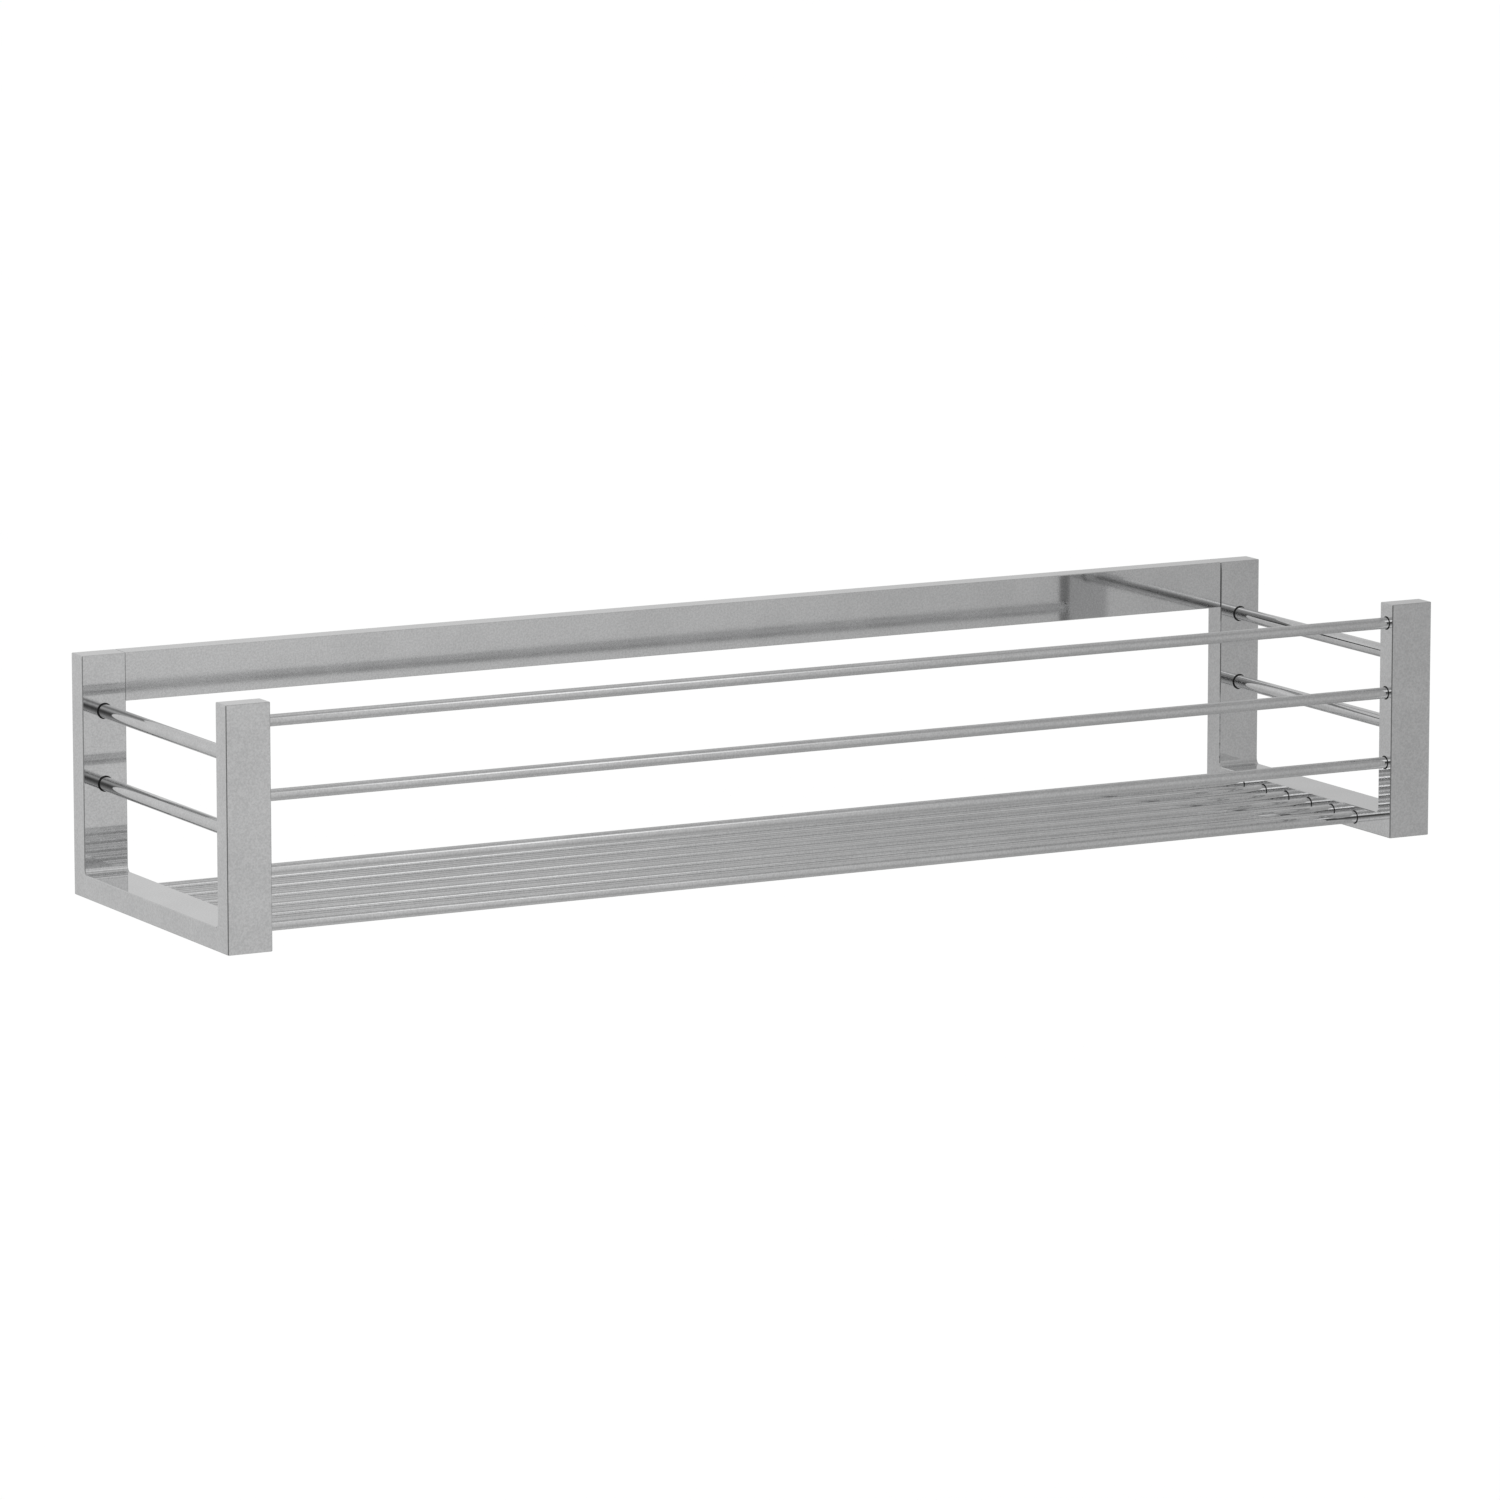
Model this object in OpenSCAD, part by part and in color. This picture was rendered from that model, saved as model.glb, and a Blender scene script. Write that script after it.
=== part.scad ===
// Wall-mounted towel rack: two U-shaped flat-bar end frames, a back bar at the
// top against the wall, three front rods, two side rods at each end and a floor
// of six rods. The wall is the plane y = 0 and the rack stands out towards -y.
// The origin is the centre of the back bar's wall face. Millimetres, z is up.

/* [Rack] */
// Overall length along the wall
rack_length = 580; // [300:1:900]
// Overall depth out from the wall
rack_depth = 154; // [120:0.5:220]
// Overall height of the end frames
rack_height = 103.5; // [85:0.5:160]

/* [End frames] */
// Width of the flat bar that the end frames are made of
frame_width = 20; // [16.5:0.5:30]
// Thickness of the front upright and of the bottom bar
frame_thick = 10; // [8:0.5:14]
// Thickness of the back upright
back_thick = 11; // [9:0.5:15]
// Fillet where the bottom bar meets each upright, on the inside
inner_fillet = 2.5; // [1:0.5:6]
// Chamfer along the long outer edges of the flat bar
edge_bevel = 0.35; // [0.2:0.05:0.8]

/* [Back bar] */
// Height of the back bar
bar_height = 20.7; // [17:0.1:25]
// How far the back bar's front face lies behind the back uprights' front faces
bar_setback = 0.5; // [0:0.1:1]
// Hairline gap between the back bar and each end frame
bar_seam = 0.15; // [0.05:0.05:0.5]

/* [Long rods] */
// Diameter of the front rods and the floor rods
rod_d = 5; // [4:0.25:7]
// From the top of the frames down to the top front rod's axis
front_rod_drop = 8.6; // [6:0.1:14]
// Spacing of the front rods, axis to axis
front_rod_pitch = 30.9; // [15:0.1:38]

/* [Side rods] */
// Diameter of the side rods
side_rod_d = 6; // [4:0.25:7.5]
// From the top of the frames down to the upper side rod's axis
side_rod_drop = 24.1; // [20:0.1:34]
// Spacing of the side rods, axis to axis
side_rod_pitch = 31.1; // [15:0.1:38]
// Diameter of the flat head on the wall end of a side rod
rod_head_d = 9; // [7:0.25:11]
// Thickness of that head
rod_head_h = 1.6; // [1:0.1:2.5]

/* [Sockets and seat rings] */
// Depth of the blind socket that a rod's end goes into
socket_depth = 5; // [3.5:0.25:6.5]
// Gap all round between a rod and its socket
rod_clearance = 0.05; // [0.02:0.01:0.15]
// Radial width of the black seat ring at a socket's mouth
ring_width = 0.5; // [0.3:0.05:0.8]
// How deep the seat ring goes into the frame
ring_depth = 1.5; // [1:0.1:2.5]

/* [Joining plates] */
// Metal left between a joining plate's end and the end frame's outer face
plate_inset = 4; // [2:0.5:5]
// Height of the plate that ties the back bar to an end frame
plate_height = 9; // [8:0.5:10]
// Thickness of the joining plate
plate_thick = 2; // [1.5:0.1:2.5]
// Gap all round between a plate and its recess
plate_clearance = 0.1; // [0.05:0.05:0.3]
// Metal left below the countersunk head of a joining screw in its plate
plate_seat = 0.5; // [0.3:0.1:0.8]
// Thread diameter of the countersunk joining screws
joint_screw_d = 4; // [3:0.5:5]
// Length of the joining screws
joint_screw_length = 7; // [5:0.5:8]
// Spacing of the two screws in each joining plate
joint_screw_pitch = 18; // [15:0.5:22]

/* [Wall brackets] */
// From an end frame's inner face to the centre of the wall bracket next to it
bracket_inset = 70; // [50:1:90]
// Length of a wall bracket along the wall
bracket_length = 56; // [46:1:70]
// Height of a wall bracket
bracket_height = 11.4; // [9.5:0.1:14]
// Thickness of a wall bracket
bracket_thick = 7; // [5:0.25:8.5]
// Gap below, beside and in front of a bracket in its pocket in the back bar
bracket_clearance = 0.3; // [0.1:0.05:0.6]
// Diameter of the two wall screw holes in each bracket
wall_hole_d = 5; // [4:0.25:6]
// Spacing of the two wall screw holes in a bracket
wall_hole_pitch = 36; // [30:1:44]
// Diameter of the countersink of a wall screw hole
wall_sink_d = 9; // [7:0.25:11]
// Thread diameter of the grub screw that locks a bracket from below
grub_d = 5; // [4:0.5:6]
// How far the grub screw's end lies above the back bar's underside
grub_recess = 0.35; // [0.1:0.05:1]
// How far the grub screw's point goes into the bracket's dimple
grub_bite = 1.2; // [0.5:0.1:2]
// Size across the flats of the grub screw's hexagon socket
grub_key = 2.5; // [2:0.5:3]

/* [Hidden] */
$fn = 64;
eps = 0.01;          // cutters run this far past a face
LEFT = -1;
RIGHT = 1;
front_rods = 3;
floor_rods = 6;
side_rods = 2;       // at each end

// Levels: the back bar's wall face is centred on the origin
top_z = bar_height / 2;
bottom_z = top_z - rack_height;
front_y = -rack_depth;
half_length = rack_length / 2;
inner_x = half_length - frame_width;          // inner face of an end frame
frame_x = half_length - frame_width / 2;      // middle of an end frame

// Rod axes
front_rod_y = front_y + frame_thick / 2;
floor_rod_z = bottom_z + frame_thick / 2;
floor_front_y = front_y + frame_thick;
floor_gap = (rack_depth - frame_thick - back_thick) / (floor_rods + 1);
function front_rod_z(i) = top_z - front_rod_drop - i * front_rod_pitch;
function side_rod_z(i) = top_z - side_rod_drop - i * side_rod_pitch;
function floor_rod_y(i) = floor_front_y + (i + 1) * floor_gap;

// Both ends of a rod bear on the floors of their sockets
long_rod_length = 2 * (inner_x + socket_depth);
side_rod_front_y = floor_front_y - socket_depth;
end_chamfer = 0.3;   // small chamfer on a rod's ends

// Joining plates sit flush with the wall face, across the seam
plate_x = inner_x;
plate_z = 0;
plate_length = 2 * (frame_width - plate_inset);
screw_head_h = plate_thick - plate_seat;
joint_screw_head_d = joint_screw_d + 2 * screw_head_h;     // 90 degree head

// Brackets sit in rear pockets of the back bar, flush with the wall face. The
// bar hangs on them, so each bracket's top bears on the top of its pocket.
bracket_x = inner_x - bracket_inset;
pocket_top_z = bracket_height / 2;
pocket_bottom_z = -bracket_height / 2 - bracket_clearance;
pocket_depth = bracket_thick + bracket_clearance;
wall_sink_h = (wall_sink_d - wall_hole_d) / 2;
grub_y = -bracket_thick / 2;
grub_top_z = -bracket_height / 2 + grub_bite;
grub_bottom_z = -bar_height / 2 + grub_recess;
grub_point = grub_bite;     // height of the grub screw's cone point
grub_hex_depth = 2.5;       // depth of its hexagon socket

chrome = [0.78, 0.79, 0.80];
steel = [0.62, 0.63, 0.64];
black = [0.06, 0.06, 0.06];

// ---------------------------------------------------------------- helpers

// Cylinder along y, starting at the origin and running towards +y
module rod_along_y(length, diameter) {
  rotate([-90, 0, 0]) cylinder(h = length, d = diameter);
}

// Turned rod along z with a small chamfer at both ends
module chamfered_rod(length, diameter) {
  r = diameter / 2;
  rotate_extrude()
    polygon([
      [0, 0], [r - end_chamfer, 0], [r, end_chamfer],
      [r, length - end_chamfer], [r - end_chamfer, length], [0, length]
    ]);
}

// Rectangle with chamfered corners, centred, for the section of a flat bar
module bevelled_rect(a, b, bevel) {
  x = a / 2;
  y = b / 2;
  polygon([
    [-x + bevel, -y], [x - bevel, -y], [x, -y + bevel], [x, y - bevel],
    [x - bevel, y], [-x + bevel, y], [-x, y - bevel], [-x, -y + bevel]
  ]);
}

// Quarter-round fillet piece with its corner at the origin, filling +x +y
module fillet_2d(radius) {
  difference() {
    square(radius);
    translate([radius, radius]) circle(r = radius);
  }
}

// ---------------------------------------------------------------- end frames

// Outline of the U seen from the end: x is the rack's y, y is the rack's z
module frame_outline() {
  difference() {
    translate([front_y, bottom_z]) square([rack_depth, rack_height]);
    translate([floor_front_y, bottom_z + frame_thick])
      square([rack_depth - frame_thick - back_thick, rack_height]);
  }
  translate([floor_front_y, bottom_z + frame_thick]) fillet_2d(inner_fillet);
  translate([-back_thick, bottom_z + frame_thick])
    mirror([1, 0]) fillet_2d(inner_fillet);
}

// Diamond that takes a corner off at 45 degrees, edge_bevel along each face
module bevel_diamond() {
  rotate(45) square(edge_bevel * sqrt(2), center = true);
}

// Cuts a chamfer along an edge that runs along z, up from the origin
module edge_wedge(length) {
  translate([0, 0, -eps]) linear_extrude(length + 2 * eps) bevel_diamond();
}

// The same along x and along y, each from the origin in the positive direction
module edge_wedge_x(length) {
  rotate([0, 90, 0]) edge_wedge(length);
}

module edge_wedge_y(length) {
  rotate([-90, 0, 0]) edge_wedge(length);
}

// Chamfer on the outline of one wide side of the U, in the plane x = 0
module side_bevels() {
  opening_z = bottom_z + frame_thick;
  inside_y = [floor_front_y, -back_thick];
  upright_length = rack_height - frame_thick - inner_fillet;
  // outer edges: front, wall, top and bottom
  for (y = [front_y, 0])
    translate([0, y, bottom_z]) edge_wedge(rack_height);
  for (z = [bottom_z, top_z])
    translate([0, front_y, z]) edge_wedge_y(rack_depth);
  // edges of the opening, and round its two fillets
  for (y = inside_y)
    translate([0, y, opening_z + inner_fillet]) edge_wedge(upright_length);
  translate([0, floor_front_y + inner_fillet, opening_z])
    edge_wedge_y(rack_depth - frame_thick - back_thick - 2 * inner_fillet);
  for (y = [inside_y[0] + inner_fillet, inside_y[1] - inner_fillet])
    translate([0, y, opening_z + inner_fillet])
      rotate([0, 90, 0])
        rotate_extrude() translate([inner_fillet, 0]) bevel_diamond();
}

// The flat bar bent or joined into a U, without its sockets
module frame_body() {
  difference() {
    translate([-frame_width / 2, 0, 0])
      rotate([90, 0, 90])
        linear_extrude(frame_width) frame_outline();
    for (x = [-frame_width / 2, frame_width / 2])
      translate([x, 0, 0]) side_bevels();
    // edges across the bar: the tops of both uprights and the two heels
    for (y = [front_y, floor_front_y, -back_thick, 0])
      translate([-frame_width / 2, y, top_z]) edge_wedge_x(frame_width);
    for (y = [front_y, 0])
      translate([-frame_width / 2, y, bottom_z]) edge_wedge_x(frame_width);
  }
}

// Socket for a rod, along z from the frame's face at z = 0 down to -depth
module socket(diameter, depth) {
  translate([0, 0, -depth]) cylinder(h = depth + eps, d = diameter + 2 * rod_clearance);
  translate([0, 0, -ring_depth])
    cylinder(h = ring_depth + eps, d = diameter + 2 * ring_width);
}

// Sockets in one end frame; side is LEFT or RIGHT
module frame_sockets(side) {
  // front rods and floor rods enter the inner face
  translate([-side * frame_width / 2, 0, 0]) {
    for (i = [0 : front_rods - 1])
      translate([0, front_rod_y, front_rod_z(i)])
        rotate([0, -side * 90, 0]) socket(rod_d, socket_depth);
    for (i = [0 : floor_rods - 1])
      translate([0, floor_rod_y(i), floor_rod_z])
        rotate([0, -side * 90, 0]) socket(rod_d, socket_depth);
  }
  for (i = [0 : side_rods - 1]) {
    // blind socket in the front upright
    translate([0, floor_front_y, side_rod_z(i)])
      rotate([-90, 0, 0]) socket(side_rod_d, socket_depth);
    // through hole in the back upright, with a seat for the rod's head
    translate([0, -back_thick, side_rod_z(i)])
      rotate([90, 0, 0]) socket(side_rod_d, back_thick + eps);
    translate([0, -rod_head_h, side_rod_z(i)])
      rod_along_y(rod_head_h + eps, rod_head_d + 2 * rod_clearance);
  }
}

module end_frame(side) {
  color(chrome)
    difference() {
      translate([side * frame_x, 0, 0])
        difference() {
          frame_body();
          frame_sockets(side);
        }
      plate_recess(side);
      joint_screw_hole(side, 1);
    }
}

// ---------------------------------------------------------------- back bar

module plate_recess(side) {
  translate([
    side * plate_x - plate_length / 2 - plate_clearance,
    -plate_thick,
    plate_z - plate_height / 2 - plate_clearance
  ])
    cube([
      plate_length + 2 * plate_clearance,
      plate_thick + eps,
      plate_height + 2 * plate_clearance
    ]);
}

// Blind hole for a joining screw; place is 1 in the frame and -1 in the bar
module joint_screw_hole(side, place) {
  translate([
    side * (plate_x + place * joint_screw_pitch / 2),
    -joint_screw_length,
    plate_z
  ])
    rod_along_y(joint_screw_length, joint_screw_d);
}

module bracket_pocket(side) {
  translate([
    side * bracket_x - bracket_length / 2 - bracket_clearance,
    -pocket_depth,
    pocket_bottom_z
  ])
    cube([
      bracket_length + 2 * bracket_clearance,
      pocket_depth + eps,
      pocket_top_z - pocket_bottom_z
    ]);
}

// Threaded hole for the grub screw, from the bar's underside into the pocket
module grub_hole(side) {
  translate([side * bracket_x, grub_y, -bar_height / 2 - eps])
    cylinder(h = pocket_bottom_z + bar_height / 2 + 2 * eps, d = grub_d);
}

module back_bar() {
  bar_length = 2 * (inner_x - bar_seam);
  bar_thick = back_thick - bar_setback;
  color(chrome)
    difference() {
      translate([-bar_length / 2, -bar_thick / 2, 0])
        rotate([90, 0, 90])
          linear_extrude(bar_length)
            bevelled_rect(bar_thick, bar_height, edge_bevel);
      for (side = [LEFT, RIGHT]) {
        plate_recess(side);
        joint_screw_hole(side, -1);
        bracket_pocket(side);
        grub_hole(side);
      }
    }
}

// ---------------------------------------------------------------- rods

module long_rod(y, z) {
  color(chrome)
    translate([-long_rod_length / 2, y, z])
      rotate([0, 90, 0]) chamfered_rod(long_rod_length, rod_d);
}

module front_rod(i) {
  long_rod(front_rod_y, front_rod_z(i));
}

module floor_rod(i) {
  long_rod(floor_rod_y(i), floor_rod_z);
}

// Pushed in from the wall side; its head lies in the back upright's seat
module side_rod(side, i) {
  length = -side_rod_front_y;
  r = side_rod_d / 2;
  color(chrome)
    translate([side * frame_x, side_rod_front_y, side_rod_z(i)])
      rotate([-90, 0, 0])
        rotate_extrude()
          polygon([
            [0, 0], [r - end_chamfer, 0], [r, end_chamfer],
            [r, length - rod_head_h], [rod_head_d / 2, length - rod_head_h],
            [rod_head_d / 2, length], [0, length]
          ]);
}

// ---------------------------------------------------------------- seat rings

// Thin sleeve that lines the mouth of a socket, from its face at z = 0 inwards
module seat_ring(diameter) {
  translate([0, 0, -ring_depth])
    difference() {
      cylinder(h = ring_depth, d = diameter + 2 * ring_width);
      translate([0, 0, -eps]) cylinder(h = ring_depth + 2 * eps, d = diameter);
    }
}

module front_rod_rings(side) {
  color(black)
    for (i = [0 : front_rods - 1])
      translate([side * inner_x, front_rod_y, front_rod_z(i)])
        rotate([0, -side * 90, 0]) seat_ring(rod_d);
}

module floor_rod_rings(side) {
  color(black)
    for (i = [0 : floor_rods - 1])
      translate([side * inner_x, floor_rod_y(i), floor_rod_z])
        rotate([0, -side * 90, 0]) seat_ring(rod_d);
}

module side_rod_rings(side) {
  color(black)
    for (i = [0 : side_rods - 1]) {
      translate([side * frame_x, floor_front_y, side_rod_z(i)])
        rotate([-90, 0, 0]) seat_ring(side_rod_d);
      translate([side * frame_x, -back_thick, side_rod_z(i)])
        rotate([90, 0, 0]) seat_ring(side_rod_d);
    }
}

// ---------------------------------------------------------------- joining plates

module joining_plate(side) {
  color(steel)
    difference() {
      translate([side * plate_x, -plate_thick / 2, plate_z])
        cube([plate_length, plate_thick, plate_height], center = true);
      for (place = [-1, 1])
        translate([
          side * plate_x + place * joint_screw_pitch / 2,
          -plate_thick - eps,
          plate_z
        ]) {
          rod_along_y(plate_thick + 2 * eps, joint_screw_d);
          translate([0, plate_thick + eps - screw_head_h, 0])
            rotate([-90, 0, 0])
              cylinder(
                h = screw_head_h + eps,
                d1 = joint_screw_d,
                d2 = joint_screw_head_d + 2 * eps
              );
        }
    }
}

// Countersunk screw along y with its head flush with the wall face
module joining_screw() {
  r = joint_screw_d / 2;
  head_r = joint_screw_head_d / 2;
  difference() {
    translate([0, -joint_screw_length, 0])
      rotate([-90, 0, 0])
        rotate_extrude()
          polygon([
            [0, 0], [r, 0], [r, joint_screw_length - screw_head_h],
            [head_r, joint_screw_length], [0, joint_screw_length]
          ]);
    // hexagon socket
    translate([0, -screw_head_h, 0])
      rotate([-90, 0, 0])
        cylinder(h = screw_head_h + eps, d = grub_key / cos(30), $fn = 6);
  }
}

module joining_screws() {
  color(steel)
    for (side = [LEFT, RIGHT])
      for (place = [-1, 1])
        translate([side * plate_x + place * joint_screw_pitch / 2, 0, plate_z])
          joining_screw();
}

// ---------------------------------------------------------------- wall brackets

module wall_bracket(side) {
  color(steel)
    translate([side * bracket_x, 0, 0])
      difference() {
        translate([-bracket_length / 2, -bracket_thick, -bracket_height / 2])
          cube([bracket_length, bracket_thick, bracket_height]);
        for (place = [-1, 1])
          translate([place * wall_hole_pitch / 2, -bracket_thick - eps, 0]) {
            rod_along_y(bracket_thick + 2 * eps, wall_hole_d);
            rotate([-90, 0, 0])
              cylinder(h = wall_sink_h + eps, d1 = wall_sink_d + 2 * eps, d2 = wall_hole_d);
          }
        // dimple for the grub screw's point
        translate([0, grub_y, -bracket_height / 2 - eps])
          cylinder(h = grub_bite + eps, d = grub_d);
      }
}

module grub_screw(side) {
  r = grub_d / 2;
  length = grub_top_z - grub_bottom_z;
  color(steel)
    translate([side * bracket_x, grub_y, grub_bottom_z])
      difference() {
        rotate_extrude()
          polygon([
            [0, 0], [r, 0], [r, length - grub_point],
            [r - grub_point, length], [0, length]
          ]);
        translate([0, 0, -eps])
          cylinder(h = grub_hex_depth + eps, d = grub_key / cos(30), $fn = 6);
      }
}

end_frame(LEFT);  // left_end_frame
end_frame(RIGHT);  // right_end_frame
back_bar();
front_rod(0);  // front_rod_top
front_rod(1);  // front_rod_middle
front_rod(2);  // front_rod_bottom
floor_rod(0);  // floor_rod_1
floor_rod(1);  // floor_rod_2
floor_rod(2);  // floor_rod_3
floor_rod(3);  // floor_rod_4
floor_rod(4);  // floor_rod_5
floor_rod(5);  // floor_rod_6
side_rod(LEFT, 0);  // left_side_rod_upper
side_rod(LEFT, 1);  // left_side_rod_lower
side_rod(RIGHT, 0);  // right_side_rod_upper
side_rod(RIGHT, 1);  // right_side_rod_lower
front_rod_rings(LEFT);  // left_front_rod_rings
front_rod_rings(RIGHT);  // right_front_rod_rings
floor_rod_rings(LEFT);  // left_floor_rod_rings
floor_rod_rings(RIGHT);  // right_floor_rod_rings
side_rod_rings(LEFT);  // left_side_rod_rings
side_rod_rings(RIGHT);  // right_side_rod_rings
joining_plate(LEFT);  // left_joining_plate
joining_plate(RIGHT);  // right_joining_plate
joining_screws();
wall_bracket(LEFT);  // left_wall_bracket
wall_bracket(RIGHT);  // right_wall_bracket
grub_screw(LEFT);  // left_grub_screw
grub_screw(RIGHT);  // right_grub_screw
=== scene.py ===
"""Looks of the towel rack: polished chrome bars and rods, near-black rings round each rod's end where it
meets a frame, plated steel fixings.
"""

import math

import bmesh
import bpy
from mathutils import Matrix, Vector


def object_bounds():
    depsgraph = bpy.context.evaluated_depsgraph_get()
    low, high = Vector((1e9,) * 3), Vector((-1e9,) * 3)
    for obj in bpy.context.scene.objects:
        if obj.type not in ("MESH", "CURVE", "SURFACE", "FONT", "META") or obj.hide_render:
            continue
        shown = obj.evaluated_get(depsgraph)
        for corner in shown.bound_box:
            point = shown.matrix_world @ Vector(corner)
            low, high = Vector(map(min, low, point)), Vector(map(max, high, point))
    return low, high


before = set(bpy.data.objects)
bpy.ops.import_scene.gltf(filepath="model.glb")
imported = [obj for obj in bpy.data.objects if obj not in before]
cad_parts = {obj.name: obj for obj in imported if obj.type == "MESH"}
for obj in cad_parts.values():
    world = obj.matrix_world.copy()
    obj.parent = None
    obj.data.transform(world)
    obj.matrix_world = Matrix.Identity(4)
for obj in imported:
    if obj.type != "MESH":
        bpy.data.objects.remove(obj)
cad_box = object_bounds()

LOW, HIGH = Vector(cad_box[0]), Vector(cad_box[1])
CENTRE = (LOW + HIGH) / 2

# ------------------------------------------------------------------ camera
# Solved from the corners seen in the photo and the rack's sizes
VIEW_TURN = math.radians(28.356)  # the camera stands to the left of the rack
VIEW_ELEVATION = math.radians(9.780)
VIEW_DISTANCE = 3.681
VIEW_LENS = 205.43
AIM = CENTRE + Vector((-0.0055, 0.0026, -0.0019))  # what the middle of the photo shows
SENSOR = 36.0
FAR_CLIP = 200.0


def toward(turn, elevation):
    """Unit vector at an angle turned from +Y towards +X and raised from the horizontal, both in radians."""
    flat = math.cos(elevation)
    return Vector((math.sin(turn) * flat, math.cos(turn) * flat, math.sin(elevation)))


def make_camera():
    ahead = toward(VIEW_TURN, -VIEW_ELEVATION)
    data = bpy.data.cameras.new("camera")
    data.lens = VIEW_LENS
    data.sensor_width = SENSOR
    data.clip_end = FAR_CLIP
    camera = bpy.data.objects.new("camera", data)
    camera.location = AIM - ahead * VIEW_DISTANCE
    camera.rotation_euler = ahead.to_track_quat("-Z", "Y").to_euler()
    bpy.context.scene.collection.objects.link(camera)
    bpy.context.scene.camera = camera


# ------------------------------------------------------------------ node helpers
class Tree:
    """Short calls that add nodes to one material's node tree and link them."""

    def __init__(self, owner):
        owner.use_nodes = True
        self.tree = owner.node_tree
        self.tree.nodes.clear()

    def add(self, kind, settings=None, **inputs):
        node = self.tree.nodes.new(kind)
        for key, value in (settings or {}).items():
            setattr(node, key, value)
        for key, value in inputs.items():
            self.put(node, key, value)
        return node

    def put(self, node, key, value):
        """Links or sets the input that key names. i0, i1 and so on count the inputs."""
        socket = node.inputs[int(key[1:]) if key[1:].isdigit() else key.replace("_", " ")]
        if isinstance(value, bpy.types.NodeSocket):
            self.tree.links.new(value, socket)
        else:
            socket.default_value = value

    def place(self, size):
        """Object-space position, scaled so that one unit is size metres."""
        where = self.add("ShaderNodeTexCoord").outputs["Object"]
        return self.vector_math("SCALE", i0=where, i3=1 / size).outputs[0]

    def stretch(self, vector, factors):
        return self.vector_math("MULTIPLY", i0=vector, i1=factors).outputs[0]

    def noise(self, vector, detail, rough=0.5):
        """Noise with detail octaves. rough says how strong the finer ones are."""
        inputs = {"Vector": vector, "Scale": 1.0, "Detail": detail, "Roughness": rough}
        return self.add("ShaderNodeTexNoise", **inputs).outputs[0]

    def remap(self, value, span, low, high):
        """Smooth step from low to high while value crosses span."""
        inputs = {"Value": value, "From_Min": span[0], "From_Max": span[1], "To_Min": low, "To_Max": high}
        return self.add("ShaderNodeMapRange", {"interpolation_type": "SMOOTHSTEP"}, **inputs).outputs[0]

    def tint(self, value, dark, light):
        """Colour from dark at value 0 to light at value 1. A colour mix reads inputs 6 and 7."""
        node = self.add("ShaderNodeMix", {"data_type": "RGBA"}, i0=value, i6=(*dark, 1), i7=(*light, 1))
        return node.outputs[2]

    def math(self, operation, a, b=0.0):
        return self.add("ShaderNodeMath", {"operation": operation}, i0=a, i1=b).outputs[0]

    def vector_math(self, operation, **inputs):
        return self.add("ShaderNodeVectorMath", {"operation": operation}, **inputs)

    def bump(self, height, distance, **over):
        return self.add("ShaderNodeBump", Strength=1.0, Distance=distance, Height=height, **over).outputs[0]

    def principled(self, **inputs):
        self.finish(self.add("ShaderNodeBsdfPrincipled", **inputs))

    def finish(self, shader):
        out = self.add("ShaderNodeOutputMaterial")
        self.tree.links.new(shader.outputs[0], out.inputs["Surface"])


def new_material(name):
    material = bpy.data.materials.new(name)
    return material, Tree(material)


# ------------------------------------------------------------------ materials
# Noise sizes and bump heights, in metres
CLOUD_SIZE = 0.020
MARK_SIZE = 0.0005
MARK_HEIGHT = 0.0000004
SPECK_SIZE = 0.0008
RIPPLE_SIZE = 0.030
RIPPLE_HEIGHT = 0.000004
GRAIN_SIZE = 0.0003
GRAIN_HEIGHT = 0.00001
TARNISH_SIZE = 0.006
# Polishing marks are 1 / DRAWN times as long as they are wide. The steel's brushed grain is shorter.
DRAWN = 0.02
ALONG_X = (DRAWN, 1.0, 1.0)
ALONG_Y = (1.0, DRAWN, 1.0)
BRUSHED = (0.04, 1.0, 1.0)
# Spans of a noise's value that are spread over a range of shade or roughness
NARROW = (0.35, 0.65)
MIDDLE = (0.3, 0.7)
WIDE = (0.25, 0.75)
PEAKS = (0.45, 0.8)
# Roughness of the plate, piece by piece, what clouds and marks add to it, and the others' ranges
BAR_GLOSS = 0.05
FRAME_GLOSS = 0.025
ROD_GLOSS = 0.02
CLOUD_ROUGHNESS = 0.015
MARK_ROUGHNESS = 0.02
RING_ROUGHNESS = (0.55, 0.70)
STEEL_ROUGHNESS = (0.24, 0.42)
# How far clouds and specks move the chrome from its dark colour, at 0, to its light one, at 1
CLOUD_SHADE = (0.3, 0.5)
SPECK_SHADE = (-0.3, 0.5)

CHROME_DARK = (0.640, 0.642, 0.645)
CHROME_LIGHT = (0.800, 0.802, 0.805)
# Near-black colour of the thin rings round each rod's end where it meets a frame
RING_DARK = (0.003, 0.003, 0.003)
RING_LIGHT = (0.009, 0.009, 0.010)
STEEL_DARK = (0.42, 0.43, 0.45)
STEEL_LIGHT = (0.70, 0.71, 0.72)


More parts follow.
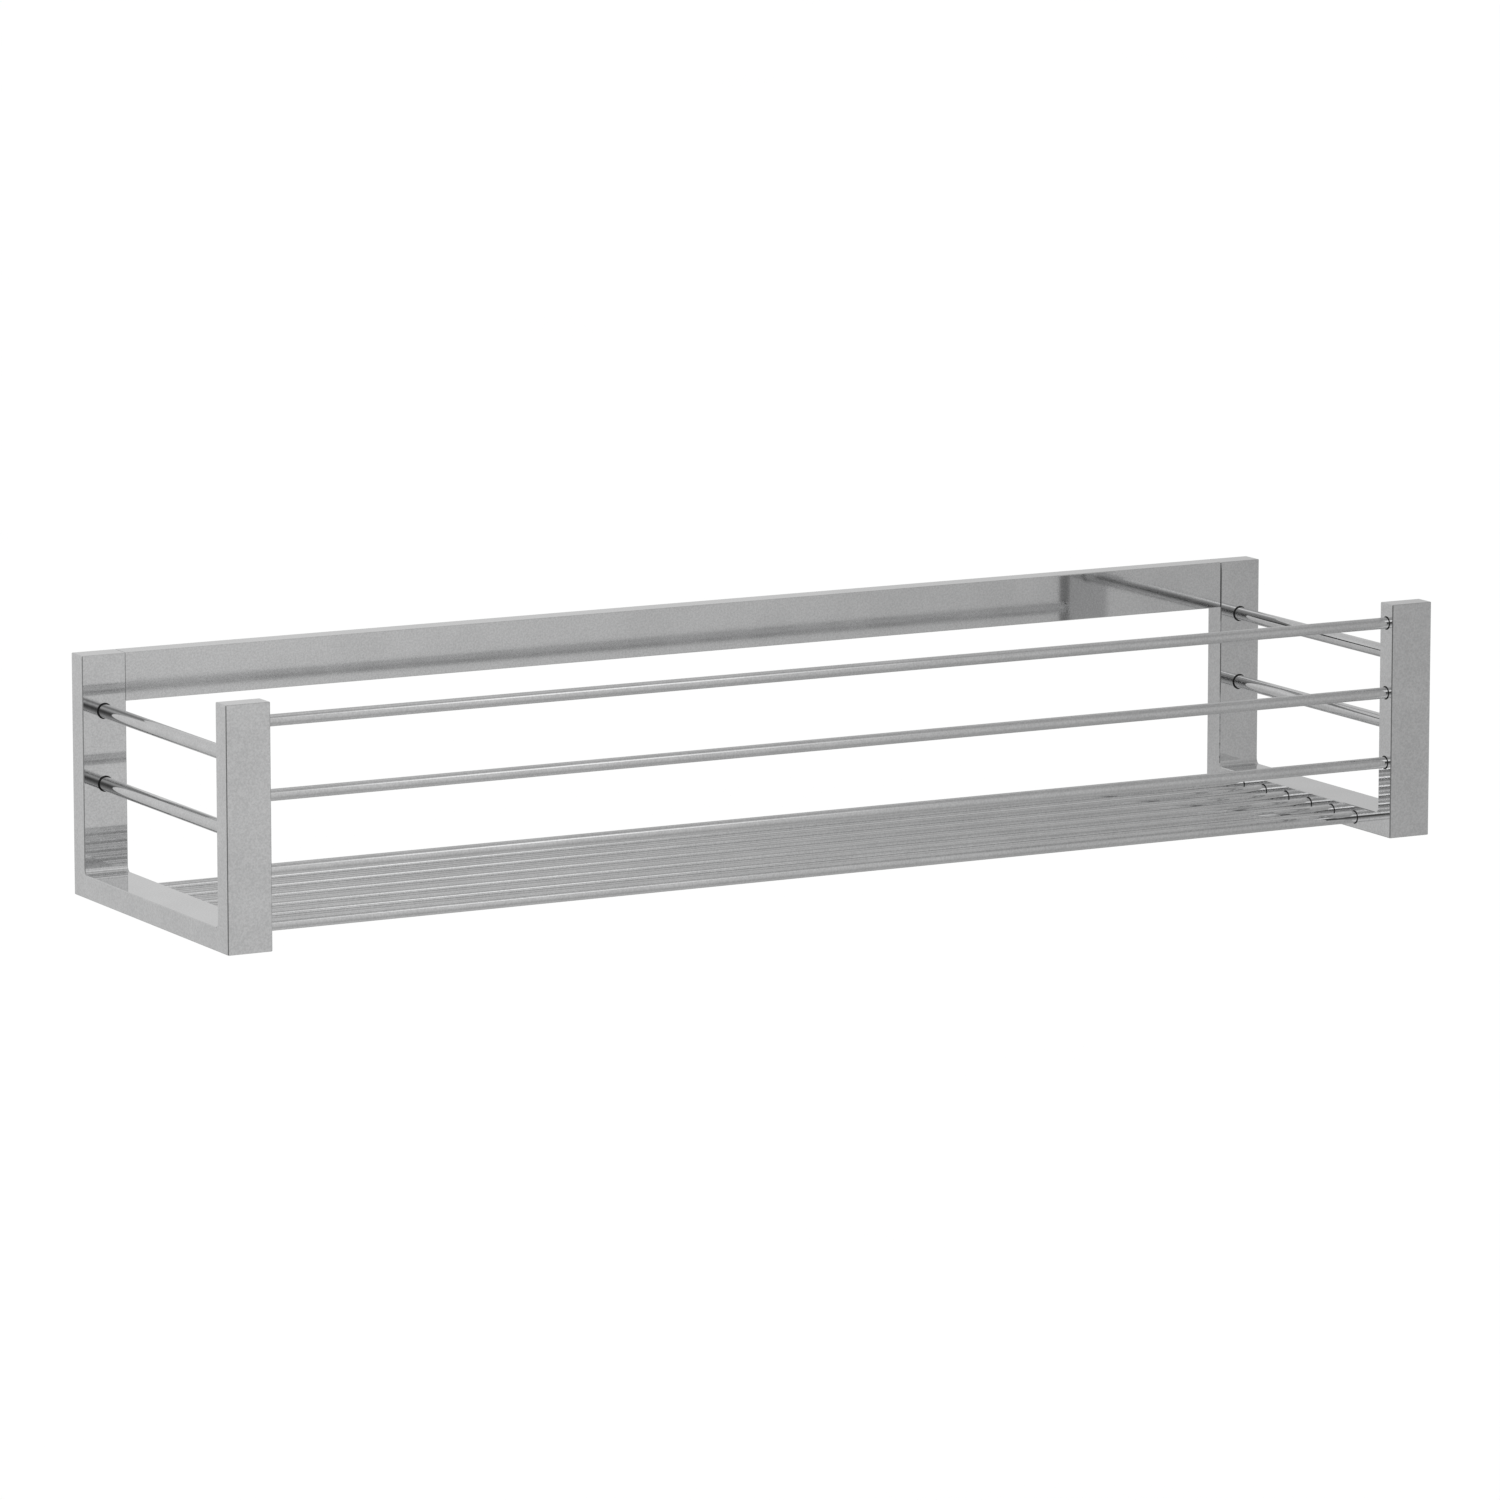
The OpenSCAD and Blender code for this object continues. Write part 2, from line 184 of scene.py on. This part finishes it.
def chrome(name, along, gloss):
    """Bright chrome plate. along draws the polishing marks down the piece, gloss is its roughness."""
    material, t = new_material(name)
    cloud = t.noise(t.place(CLOUD_SIZE), detail=2.0)
    marks = t.noise(t.stretch(t.place(MARK_SIZE), along), detail=3.0, rough=0.6)
    speck = t.noise(t.place(SPECK_SIZE), detail=1.5)
    shade = t.math("ADD", t.remap(cloud, NARROW, *CLOUD_SHADE), t.remap(speck, WIDE, *SPECK_SHADE))
    dull = t.remap(cloud, MIDDLE, gloss, gloss + CLOUD_ROUGHNESS)
    scuff = t.remap(marks, PEAKS, 0.0, MARK_ROUGHNESS)
    ripple = t.noise(t.place(RIPPLE_SIZE), detail=1.0)
    t.principled(
        Base_Color=t.tint(shade, CHROME_DARK, CHROME_LIGHT),
        Metallic=1.0,
        Roughness=t.math("ADD", dull, scuff),
        Normal=t.bump(ripple, RIPPLE_HEIGHT, Normal=t.bump(marks, MARK_HEIGHT)),
    )
    return material


# Near-black colour with a faint grain for the thin rings round each rod's end where it meets a frame
def near_black_ring():
    material, t = new_material("near_black_ring_finish")
    grain = t.noise(t.place(GRAIN_SIZE), detail=3.0)
    t.principled(
        Base_Color=t.tint(grain, RING_DARK, RING_LIGHT),
        Roughness=t.remap(grain, MIDDLE, *RING_ROUGHNESS),
        Normal=t.bump(grain, GRAIN_HEIGHT),
    )
    return material


def plated_steel():
    material, t = new_material("plated_steel")
    brush = t.noise(t.stretch(t.place(GRAIN_SIZE), BRUSHED), detail=5.0, rough=0.6)
    tarnish = t.noise(t.place(TARNISH_SIZE), detail=3.0)
    t.principled(
        Base_Color=t.tint(t.math("MULTIPLY", brush, tarnish), STEEL_DARK, STEEL_LIGHT),
        Metallic=1.0,
        Roughness=t.remap(brush, MIDDLE, *STEEL_ROUGHNESS),
        Normal=t.bump(brush, GRAIN_HEIGHT),
    )
    return material


def dress_nodes():
    finish = {
        "bar": chrome("chrome_bar", ALONG_X, BAR_GLOSS),
        "frame": chrome("chrome_frame", ALONG_Y, FRAME_GLOSS),
        "rod": chrome("chrome_rod", ALONG_X, ROD_GLOSS),
        "side": chrome("chrome_side_rod", ALONG_Y, ROD_GLOSS),
        "ring": near_black_ring(),
        "steel": plated_steel(),
    }
    for name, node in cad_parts.items():
        if name.endswith("rings"):
            kind = "ring"
        elif "side_rod" in name:
            kind = "side"
        elif "rod" in name:
            kind = "rod"
        elif name.endswith("frame"):
            kind = "frame"
        elif name == "back_bar":
            kind = "bar"
        else:
            kind = "steel"
        node.data.materials.clear()
        node.data.materials.append(finish[kind])


# ------------------------------------------------------------------ studio
FLOOR_DROP = 0.9
FLOOR_HALF = 40.0
FLOOR_CELLS = 8
FLOOR_GRAIN = 0.5
FLOOR_DARK = (0.95, 0.95, 0.95)
FLOOR_LIGHT = (0.97, 0.97, 0.97)
SKY = 1.05  # strength of the white light all round
DOME_RADIUS = 1.4
DOME_SUBDIVISIONS = 5
DOME_BASE = 0.35
DOME_LEAST = 0.04
# Soft lights, and dark flags with a strength below zero, on the dome around the rack:
# turn from +Y towards +X and elevation in degrees, sharpness, strength.
# They began as a least-squares fit to the photo's greys, and were then rounded and adjusted.
DOME_LIGHTS = {
    "dark room behind the camera": (-160, 20, 7, -0.45),
    "darkest patch, at the camera": (-150, -5, 25, -0.10),
    "lamp above the camera": (-140, 35, 30, 2.00),
    "pale floor below the camera": (-130, -55, 12, 0.40),
    "front right lamp, upper half": (150, 45, 130, 0.65),
    "front right lamp, lower half": (155, 35, 130, 0.65),
    "glow round that lamp": (170, 20, 12, 0.40),
    "glow below it": (170, -15, 7, 0.25),
    "wall behind, left": (-25, 5, 4, 0.35),
    "wall behind, right": (30, 5, 6, 0.30),
    "flag in front of that wall": (-10, -5, 25, -0.30),
    "flag behind, low on the right": (30, -20, 10, -0.25),
    "flag on the left": (-120, -10, 30, -0.20),
    "ceiling": (50, 80, 8, 0.30),
    "floor": (10, -80, 6, 0.25),
}


def dome_light():
    """Emission that is the sum of soft round lobes around directions on the dome."""
    material, t = new_material("studio_dome")
    where = t.add("ShaderNodeTexCoord").outputs["Object"]
    unit = t.vector_math("NORMALIZE", i0=where).outputs[0]
    total = DOME_BASE
    for turn, elevation, sharpness, strength in DOME_LIGHTS.values():
        middle = toward(math.radians(turn), math.radians(elevation))
        dot = t.vector_math("DOT_PRODUCT", i0=unit, i1=middle).outputs["Value"]
        fall = t.math("EXPONENT", t.math("MULTIPLY", t.math("SUBTRACT", dot, 1.0), sharpness))
        total = t.math("ADD", t.math("MULTIPLY", fall, strength), total)
    total = t.math("MAXIMUM", total, DOME_LEAST)
    t.finish(t.add("ShaderNodeEmission", Strength=total))
    return material


def stage_object(name, build, **settings):
    """Stage mesh that one bmesh operator builds."""
    mesh = bpy.data.meshes.new(name)
    shape = bmesh.new()
    build(shape, **settings)
    shape.to_mesh(mesh)
    shape.free()
    made = bpy.data.objects.new(name, mesh)
    bpy.context.scene.collection.objects.link(made)
    return made


def make_floor():
    cells = {"x_segments": FLOOR_CELLS, "y_segments": FLOOR_CELLS}
    floor = stage_object("floor", bmesh.ops.create_grid, size=FLOOR_HALF, **cells)
    floor.location = (CENTRE.x, CENTRE.y, LOW.z - FLOOR_DROP)
    floor.visible_glossy = False
    material, t = new_material("floor_paint")
    colour = t.tint(t.noise(t.place(FLOOR_GRAIN), detail=2.0), FLOOR_DARK, FLOOR_LIGHT)
    t.finish(t.add("ShaderNodeBsdfDiffuse", Color=colour))
    floor.data.materials.append(material)


def make_dome():
    """The studio that the chrome reflects. Only glossy rays see it."""
    size = {"subdivisions": DOME_SUBDIVISIONS, "radius": DOME_RADIUS}
    dome = stage_object("studio_dome", bmesh.ops.create_icosphere, **size)
    dome.location = CENTRE
    for ray in ("camera", "diffuse", "transmission", "volume_scatter", "shadow"):
        setattr(dome, "visible_" + ray, False)
    dome.data.materials.append(dome_light())


def make_world():
    world = bpy.data.worlds.new("studio")
    bpy.context.scene.world = world
    world.use_nodes = True
    background = world.node_tree.nodes["Background"]
    background.inputs["Color"].default_value = (1, 1, 1, 1)
    background.inputs["Strength"].default_value = SKY
    bpy.context.scene.view_settings.view_transform = "Standard"


make_camera()
dress_nodes()
make_floor()
make_dome()
make_world()
